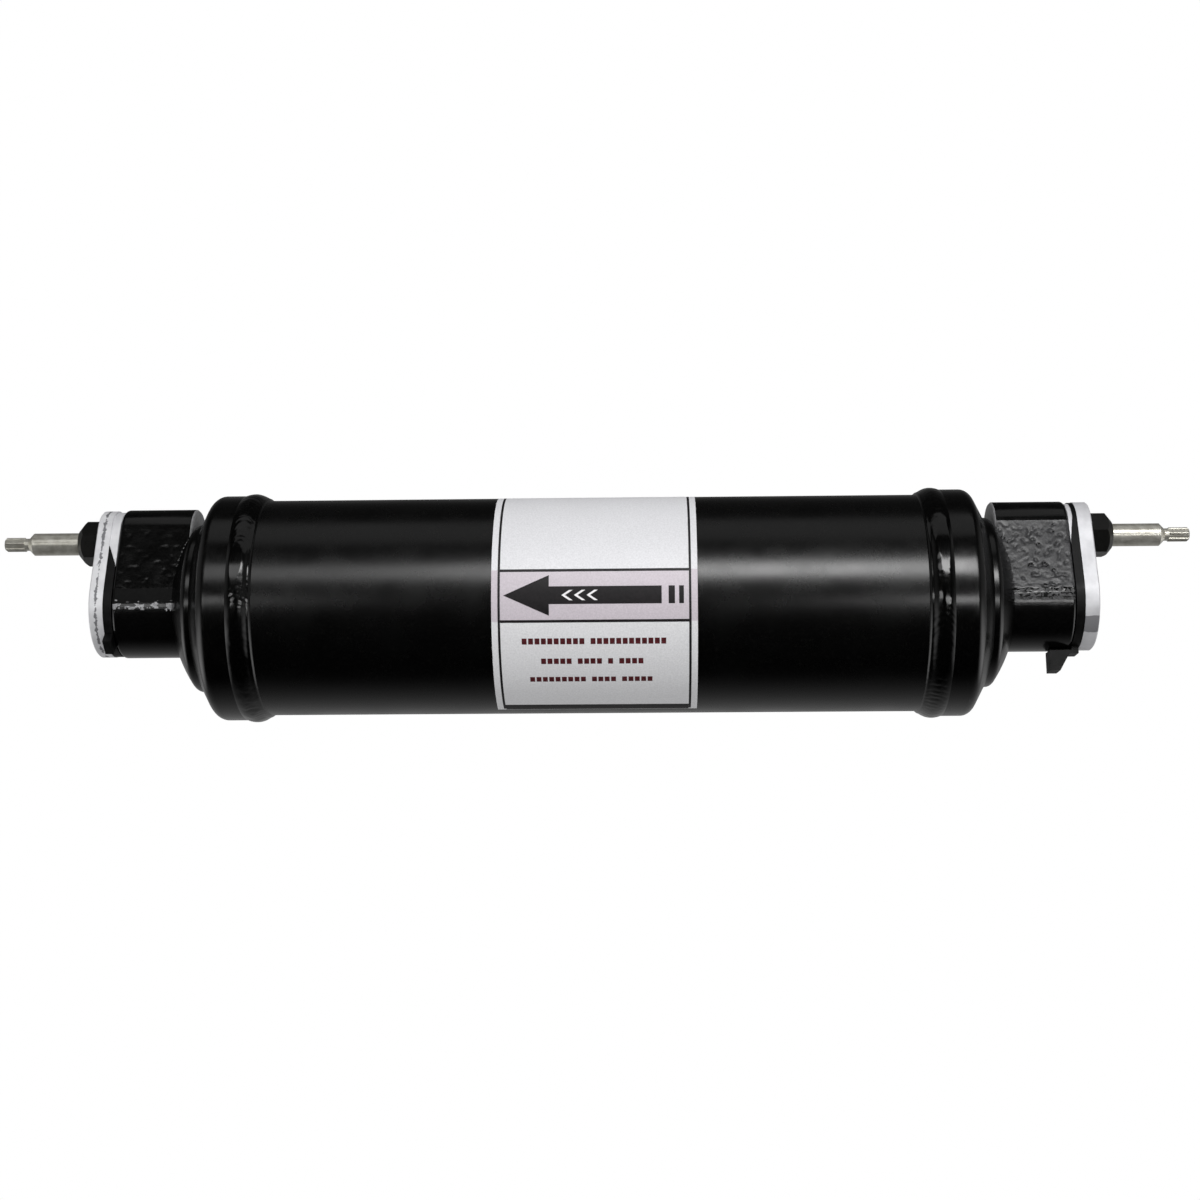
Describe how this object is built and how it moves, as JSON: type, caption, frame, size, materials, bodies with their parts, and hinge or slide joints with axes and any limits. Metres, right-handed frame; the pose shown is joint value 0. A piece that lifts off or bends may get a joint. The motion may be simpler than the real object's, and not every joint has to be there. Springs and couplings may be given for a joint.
{
  "type": "filter drier",
  "caption": "In-line filter drier for a vehicle air conditioner: black steel can with welded end caps, teardrop port blocks, studs, capped ports and a plain flow label.",
  "frame": {"origin": "centre of the can, on its axis, half way between the two stud tips", "axes": "+X along the can towards the inlet, so that the refrigerant flows towards -X; +Z from the can's axis towards the studs"},
  "size_m": [0.4222, 0.081, 0.081],
  "materials": {
    "black_paint": "satin black paint on drawn steel",
    "weld_paint": "black paint over a rippled weld bead",
    "block_paint": "thin black paint over rough steel",
    "zinc_steel": "bright zinc plate",
    "nut_black": "matt black phosphate",
    "cover_aluminium": "bright as-cut aluminium",
    "cap_rubber": "moulded black rubber",
    "label_film": "satin silver film",
    "inner_steel": "bare steel",
    "filter_felt": "white needled felt",
    "desiccant": "tan beads"
  },
  "bodies": {
    "root": {"canister_tube": "black_paint", "end_cap_inlet": "black_paint", "end_cap_outlet": "black_paint", "girth_weld_inlet": "weld_paint", "girth_weld_outlet": "weld_paint", "fitting_block_inlet": "block_paint", "fitting_block_outlet": "block_paint", "stud_inlet": "zinc_steel", "stud_outlet": "zinc_steel", "lock_nut_inlet": "nut_black", "lock_nut_outlet": "nut_black", "cover_plate_inlet": "cover_aluminium", "cover_plate_outlet": "cover_aluminium", "port_cap_inlet": "cap_rubber", "port_cap_outlet": "cap_rubber", "label": "label_film", "retainer_cup_inlet": "inner_steel", "retainer_cup_outlet": "inner_steel", "pressure_spring": "inner_steel", "outlet_screen": "inner_steel", "filter_pad_inlet": "filter_felt", "filter_pad_outlet": "filter_felt", "desiccant_bed": "desiccant"}
  },
  "joints": []
}
